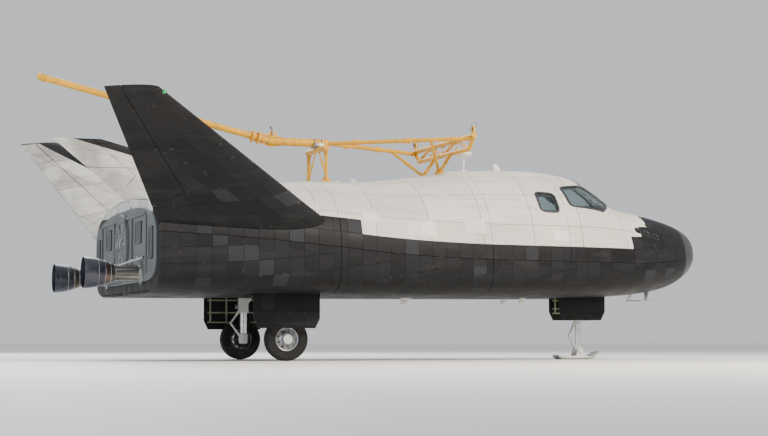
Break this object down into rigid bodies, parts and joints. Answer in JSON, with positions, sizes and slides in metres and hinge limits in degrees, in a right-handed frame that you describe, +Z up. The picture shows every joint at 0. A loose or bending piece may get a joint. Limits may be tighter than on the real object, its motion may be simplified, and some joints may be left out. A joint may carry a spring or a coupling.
{
  "type": "lifting-body spaceplane",
  "caption": "Lifting-body spaceplane with canted wings, centre fin, cabin and wheel-and-skid landing gear, carrying a rigid lifting frame.",
  "frame": {"origin": "on the floor, under the middle of the whole length and on the middle plane", "axes": "+X towards the nose, +Y to port, +Z up"},
  "size_m": [9.44, 7.0626, 3.7657],
  "materials": {
    "nose_tile": "satin",
    "belly_tile": "matte",
    "upper_panel": "matte",
    "window_glass": "gloss",
    "bulkhead_panel": "matte",
    "cabin_trim": "matte",
    "seat_fabric": "matte",
    "nozzle_metal": "satin",
    "gear_metal": "satin",
    "skid_metal": "satin",
    "tyre_rubber": "matte",
    "rim_metal": "satin",
    "lift_paint": "satin"
  },
  "bodies": {
    "airframe": {"nose_cap": "nose_tile", "nose_deck": "upper_panel", "cockpit_frame": "upper_panel", "cabin_roof": "upper_panel", "windscreen_starboard": "window_glass", "windscreen_port": "window_glass", "quarter_window_starboard": "window_glass", "quarter_window_port": "window_glass", "side_window_starboard": "window_glass", "side_window_port": "window_glass", "mid_fuselage": "upper_panel", "aft_fuselage": "upper_panel", "belly_forward": "belly_tile", "belly_mid": "belly_tile", "belly_aft": "belly_tile", "base_bulkhead": "bulkhead_panel", "docking_port_cover": "bulkhead_panel", "centre_fin": "upper_panel", "instrument_panel": "cabin_trim", "seat_starboard": "seat_fabric", "seat_port": "seat_fabric", "wing_starboard": "upper_panel", "wing_port": "upper_panel", "engine_nozzle_starboard": "nozzle_metal", "engine_nozzle_port": "nozzle_metal", "nose_leg": "gear_metal", "nose_skid": "skid_metal", "nose_gear_door_starboard": "belly_tile", "nose_gear_door_port": "belly_tile", "main_leg_starboard": "gear_metal", "main_leg_port": "gear_metal", "main_gear_door_starboard": "belly_tile", "main_gear_door_port": "belly_tile", "lifting_boom": "lift_paint", "rear_crossbar": "lift_paint", "front_spreader": "lift_paint", "frame_tube_starboard": "lift_paint", "frame_tube_port": "lift_paint", "front_post_starboard": "lift_paint", "front_post_port": "lift_paint", "antenna_mast": "lift_paint"},
    "crew_hatch": {"crew_hatch": "upper_panel"},
    "upper_body_flap_starboard": {"upper_body_flap_starboard": "upper_panel"},
    "upper_body_flap_port": {"upper_body_flap_port": "upper_panel"},
    "lower_body_flap_starboard": {"lower_body_flap_starboard": "belly_tile"},
    "lower_body_flap_port": {"lower_body_flap_port": "belly_tile"},
    "rudder": {"rudder": "upper_panel"},
    "elevon_starboard": {"elevon_starboard": "upper_panel"},
    "elevon_port": {"elevon_port": "upper_panel"},
    "wheel_starboard": {"tyre_starboard": "tyre_rubber", "wheel_rim_starboard": "rim_metal"},
    "wheel_port": {"tyre_port": "tyre_rubber", "wheel_rim_port": "rim_metal"}
  },
  "joints": [
    {"name": "crew_hatch_hinge", "type": "hinge", "parent": "airframe", "child": "crew_hatch", "pos_m": [1.75069, 1.43613, 1.84722], "axis": [0.0765, 0.4153, -0.9065], "range_deg": [0, 95]},
    {"name": "upper_flap_starboard_hinge", "type": "hinge", "parent": "airframe", "child": "upper_body_flap_starboard", "pos_m": [-3.01347, -0.87579, 2.09134], "axis": [0, 0.9968, 0.0797], "range_deg": [0, 35]},
    {"name": "upper_flap_port_hinge", "type": "hinge", "parent": "airframe", "child": "upper_body_flap_port", "pos_m": [-3.01347, 0.87579, 2.09134], "axis": [0, 0.9968, -0.0797], "range_deg": [0, 35]},
    {"name": "lower_flap_starboard_hinge", "type": "hinge", "parent": "airframe", "child": "lower_body_flap_starboard", "pos_m": [-3.02, -0.875, 0.925], "axis": [0, -1, 0], "range_deg": [0, 35]},
    {"name": "lower_flap_port_hinge", "type": "hinge", "parent": "airframe", "child": "lower_body_flap_port", "pos_m": [-3.02, 0.875, 0.925], "axis": [0, -1, 0], "range_deg": [0, 35]},
    {"name": "rudder_hinge", "type": "hinge", "parent": "airframe", "child": "rudder", "pos_m": [-3.445, 0, 2.421], "axis": [-0.7751, 0, 0.6319], "range_deg": [-25, 25]},
    {"name": "elevon_starboard_hinge", "type": "hinge", "parent": "airframe", "child": "elevon_starboard", "pos_m": [-3.81566, -2.99, 2.61424], "axis": [0.537, 0.573, -0.6191], "range_deg": [-28, 28]},
    {"name": "elevon_port_hinge", "type": "hinge", "parent": "airframe", "child": "elevon_port", "pos_m": [-3.81566, 2.99, 2.61424], "axis": [-0.537, 0.573, 0.6191], "range_deg": [-28, 28]},
    {"name": "wheel_starboard_spin", "type": "hinge", "parent": "airframe", "child": "wheel_starboard", "pos_m": [-1.68, -1.22, 0.28], "axis": [0, 1, 0], "continuous": true},
    {"name": "wheel_port_spin", "type": "hinge", "parent": "airframe", "child": "wheel_port", "pos_m": [-1.68, 1.22, 0.28], "axis": [0, 1, 0], "continuous": true}
  ]
}
